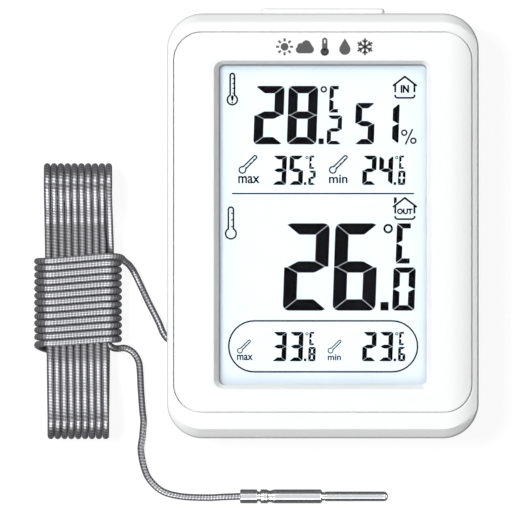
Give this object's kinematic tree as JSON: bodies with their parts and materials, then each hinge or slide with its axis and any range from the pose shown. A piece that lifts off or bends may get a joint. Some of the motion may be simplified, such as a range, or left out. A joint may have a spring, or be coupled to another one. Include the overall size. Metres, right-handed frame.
{
  "type": "maximum minimum thermometer",
  "caption": "Slim white indoor and outdoor thermometer with a large segment display, a top light button, a back stand and a wired steel probe on a tied hank of braided cable.",
  "frame": {"origin": "on the surface that the thermometer lies on, under the middle of the casing and its top button", "axes": "+Z out of the display, +Y towards the top of the display, +X towards its right side"},
  "size_m": [0.1153, 0.1283, 0.024],
  "materials": {
    "casing_white": "satin moulded white plastic with a fine mould texture",
    "clear_lens": "clear polished acrylic window",
    "display_glass": "pale blue-white lit display with black segments",
    "light_guide_clear": "clear moulded light guide",
    "inner_white": "plain moulded white plastic",
    "contact_rubber": "layered conductive silicone",
    "board_green": "green solder mask over glass fibre board",
    "epoxy_black": "black potting epoxy and moulded plastic",
    "plated_steel": "nickel plated steel",
    "screw_steel": "zinc plated steel",
    "magnet_nickel": "nickel plated magnet",
    "cell_sleeve": "printed battery sleeve, plain dark with a pale band",
    "red_insulation": "red wire insulation",
    "black_insulation": "black wire insulation",
    "grommet_rubber": "dark grey moulded rubber",
    "cable_braid": "fine woven metal braid over the cable, grey and shiny",
    "probe_steel": "turned and polished stainless steel"
  },
  "bodies": {
    "casing": {"rear_case": "casing_white", "front_cover": "casing_white", "display_lens": "clear_lens", "lcd_glass": "display_glass", "light_guide": "light_guide_clear", "reflector_sheet": "inner_white", "lcd_frame": "inner_white", "backlight_led_left": "inner_white", "backlight_led_right": "inner_white", "room_sensor": "inner_white", "sensor_connector": "inner_white", "upper_contact_strip": "contact_rubber", "lower_contact_strip": "contact_rubber", "main_board": "board_green", "controller_blob": "epoxy_black", "smoothing_capacitor": "epoxy_black", "unit_switch": "epoxy_black", "clear_switch": "epoxy_black", "light_switch": "epoxy_black", "probe_bead": "epoxy_black", "clock_crystal": "plated_steel", "stand_pin": "plated_steel", "left_contact_spring": "plated_steel", "right_contact_spring": "plated_steel", "negative_contact": "plated_steel", "positive_contact": "plated_steel", "bridge_contact": "plated_steel", "upper_left_case_screw": "screw_steel", "upper_right_case_screw": "screw_steel", "lower_left_case_screw": "screw_steel", "lower_right_case_screw": "screw_steel", "upper_left_board_screw": "screw_steel", "upper_right_board_screw": "screw_steel", "lower_left_board_screw": "screw_steel", "lower_right_board_screw": "screw_steel", "left_magnet": "magnet_nickel", "right_magnet": "magnet_nickel", "lower_battery": "cell_sleeve", "upper_battery": "cell_sleeve", "red_battery_wire": "red_insulation", "black_battery_wire": "black_insulation", "cable_grommet": "grommet_rubber", "inner_cable": "cable_braid", "cable_hank": "cable_braid", "cable_lead": "cable_braid", "probe_lead": "cable_braid", "probe_ferrule": "probe_steel", "probe_barrel": "probe_steel", "probe_tip": "probe_steel"},
    "light_key": {"light_button": "casing_white", "light_switch_plunger": "inner_white"},
    "unit_key": {"unit_button": "casing_white", "unit_switch_plunger": "inner_white"},
    "clear_key": {"clear_button": "casing_white", "clear_switch_plunger": "inner_white"},
    "stand_leg": {"stand": "casing_white"},
    "door_panel": {"battery_door": "casing_white"}
  },
  "joints": [
    {"name": "light_button_press", "type": "slide", "parent": "casing", "child": "light_key", "axis": [0, -1, 0], "range_m": [0, 0.0008], "stiffness_N_per_m": 1500},
    {"name": "unit_button_press", "type": "slide", "parent": "casing", "child": "unit_key", "axis": [0, 0, 1], "range_m": [0, 0.0008], "stiffness_N_per_m": 1200},
    {"name": "clear_button_press", "type": "slide", "parent": "casing", "child": "clear_key", "axis": [0, 0, 1], "range_m": [0, 0.0008], "stiffness_N_per_m": 1200},
    {"name": "stand_hinge", "type": "hinge", "parent": "casing", "child": "stand_leg", "pos_m": [0, -0.00315, 0.00205], "axis": [1, 0, 0], "range_deg": [0, 45]},
    {"name": "battery_door_hinge", "type": "hinge", "parent": "casing", "child": "door_panel", "pos_m": [0, 0.03205, 0.00095], "axis": [1, 0, 0], "range_deg": [0, 80]}
  ]
}
